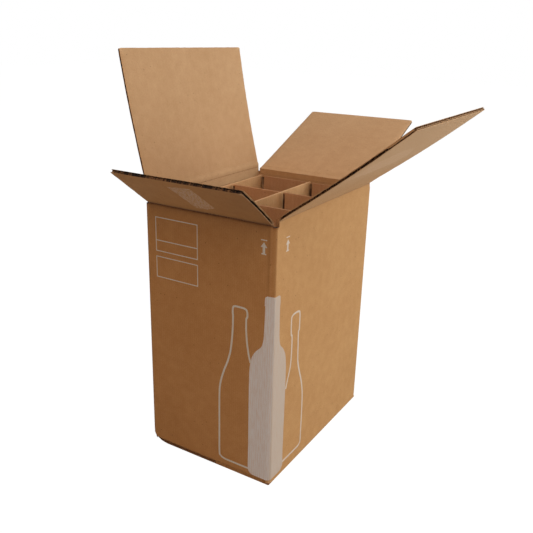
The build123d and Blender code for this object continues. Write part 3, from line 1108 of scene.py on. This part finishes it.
# The sticker traces: two places outside on the flaps where a sticker was pulled off and left torn fibres.
# One is a slanting patch on the front flap, the other a fainter one on the right flap.
front_patch = [(18.5, 70.0), (-19.0, 75.0), (-26.0, 23.5), (-10.0, 15.0), (8.8, 14.0), (14.0, 45.0)]
right_patch = [
    (118.0, 100.0), (112.0, 128.0), (60.0, 142.0), (-10.0, 138.0), (-45.0, 112.0), (-20.0, 96.0),
    (60.0, 92.0),
]
for side, outline, dark, light, torn_tone, cover in (
    ("front", front_patch, (178, 134, 85), (196, 154, 103), (224, 211, 192), 0.62),
    ("right", right_patch, (196, 158, 115), (214, 180, 138), (222, 204, 178), 0.3),
):
    material, tree, flat = new_paper(f"torn_paper_{side}")
    flecks = mottle(flat, 520.0, 3.0, 0.7)
    torn = calc("MULTIPLY", fibres(flat, 500.0, 160.0, 0.9, 4.0), 0.4)
    share = ramp(calc("MULTIPLY_ADD", flecks, 0.6, torn), 0.4, 0.6)
    paper = blend_tone(flecks, dark, light)
    tone = blend_tone(calc("MULTIPLY", share, cover), paper, torn_tone)
    finish_paper(tree, tone, flecks, 0.4, 0.0003, 0.8, 0.22)
    patch = Blank([material])
    cut = sheet_outline([outline], 5.0, 5.0)
    cut_sheet(patch, cut, lambda u, v, depth: flap_point(side, u, v, depth), (0.1, -0.04))
    patch_piece = patch.make(f"sticker_trace_{side}")
    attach(patch_piece, f"{side}_flap")

# The setting: a plain pale floor that keeps a faint shadow, under a pale sky.
# A large soft lamp stands on the right, and weaker, warmer ones around.
scene = bpy.context.scene
scene.view_settings.view_transform = "Standard"


def seen_by_camera(tree):
    """True for the rays that reach the camera, straight or by a mirror."""
    rays = add_node(tree, "ShaderNodeLightPath")
    bent = calc("MAXIMUM", rays["Is Glossy Ray"], rays["Is Transmission Ray"])
    return calc("MAXIMUM", rays["Is Camera Ray"], bent)


pale_floor = bpy.data.materials.new("pale_floor")
pale_floor.use_nodes = True
tree = pale_floor.node_tree
tree.nodes.remove(tree.nodes["Principled BSDF"])
plain = add_node(tree, "ShaderNodeBsdfDiffuse", {"Color": (0.42, 0.39, 0.37, 1.0)})[0]
white = add_node(tree, "ShaderNodeEmission", {"Color": (1, 1, 1, 1), "Strength": 1.14})[0]
white_share = calc("MULTIPLY", seen_by_camera(tree), 0.88)
shown = add_node(tree, "ShaderNodeMixShader", {0: white_share, 1: plain, 2: white})[0]
tree.links.new(shown, tree.nodes["Material Output"].inputs["Surface"])
floor_reach = 9.0
floor_mesh = bpy.data.meshes.new("floor")
floor_corners = [(x, y, 0) for x, y in box_loop(-floor_reach, floor_reach, -floor_reach, floor_reach)]
floor_mesh.from_pydata(floor_corners, [], [(0, 1, 2, 3)])
floor_mesh.materials.append(pale_floor)
floor = add_object("floor", floor_mesh)

sky = bpy.data.worlds.new("pale_sky")
scene.world = sky
sky.use_nodes = True
tree = sky.node_tree
tree.nodes.clear()
ambient = 0.03
strength = calc("MULTIPLY_ADD", seen_by_camera(tree), 1.0 - ambient, ambient)
glow = add_node(tree, "ShaderNodeBackground", {"Color": (1, 1, 1, 1), "Strength": strength})[0]
tree.links.new(glow, tree.nodes.new("ShaderNodeOutputWorld").inputs["Surface"])

for name, place, aim_height, size, power, tone in (
    ("key", (1.9, 1.3, 0.9), 0.25, 1.2, 38.0, (1.0, 1.0, 1.0)),
    ("over", (0.3, 0.2, 2.5), 0.3, 1.6, 16.5, (0.93, 1.0, 1.14)),
    ("over_right", (1.7, -0.1, 1.8), 0.35, 1.4, 13.5, (1.0, 0.9, 0.78)),
    ("over_front", (0.2, -1.3, 2.2), 0.35, 1.6, 20.5, (1.0, 0.67, 0.45)),
    ("front", (0.2, -2.4, 0.85), 0.25, 1.0, 5.8, (1.0, 0.63, 0.45)),
):
    lamp = bpy.data.lights.new(name, "AREA")
    lamp.shape = "SQUARE"
    lamp.size = size
    lamp.energy = power
    lamp.color = tone
    holder = add_object(name, lamp)
    holder.location = place
    holder.rotation_mode = "QUATERNION"
    holder.rotation_quaternion = (Vector((0, 0, aim_height)) - Vector(place)).to_track_quat("-Z", "Y")

# The camera stands where the photo was taken from, to the right of the front and above the open flaps.
# Its lens, distance and angles were solved from the corners and creases in the photo.
camera_data = bpy.data.cameras.new("camera")
camera_data.sensor_width = 36.0
camera_data.lens = 44.46
camera = add_object("camera", camera_data)
scene.camera = camera
turn, rise, roll = radians(30.966), radians(19.458), radians(1.520)
aim = Vector((0.05217, -0.07947, 0.29674))
away = 0.90064
back = Vector((sin(turn) * cos(rise), -cos(turn) * cos(rise), sin(rise)))
level = Vector((cos(turn), sin(turn), 0))
upright = back.cross(level)
right_way = level * cos(roll) + upright * sin(roll)
up_way = upright * cos(roll) - level * sin(roll)
facing = Matrix((right_way, up_way, back)).transposed().to_4x4()
camera.matrix_world = Matrix.Translation(aim + back * away) @ facing
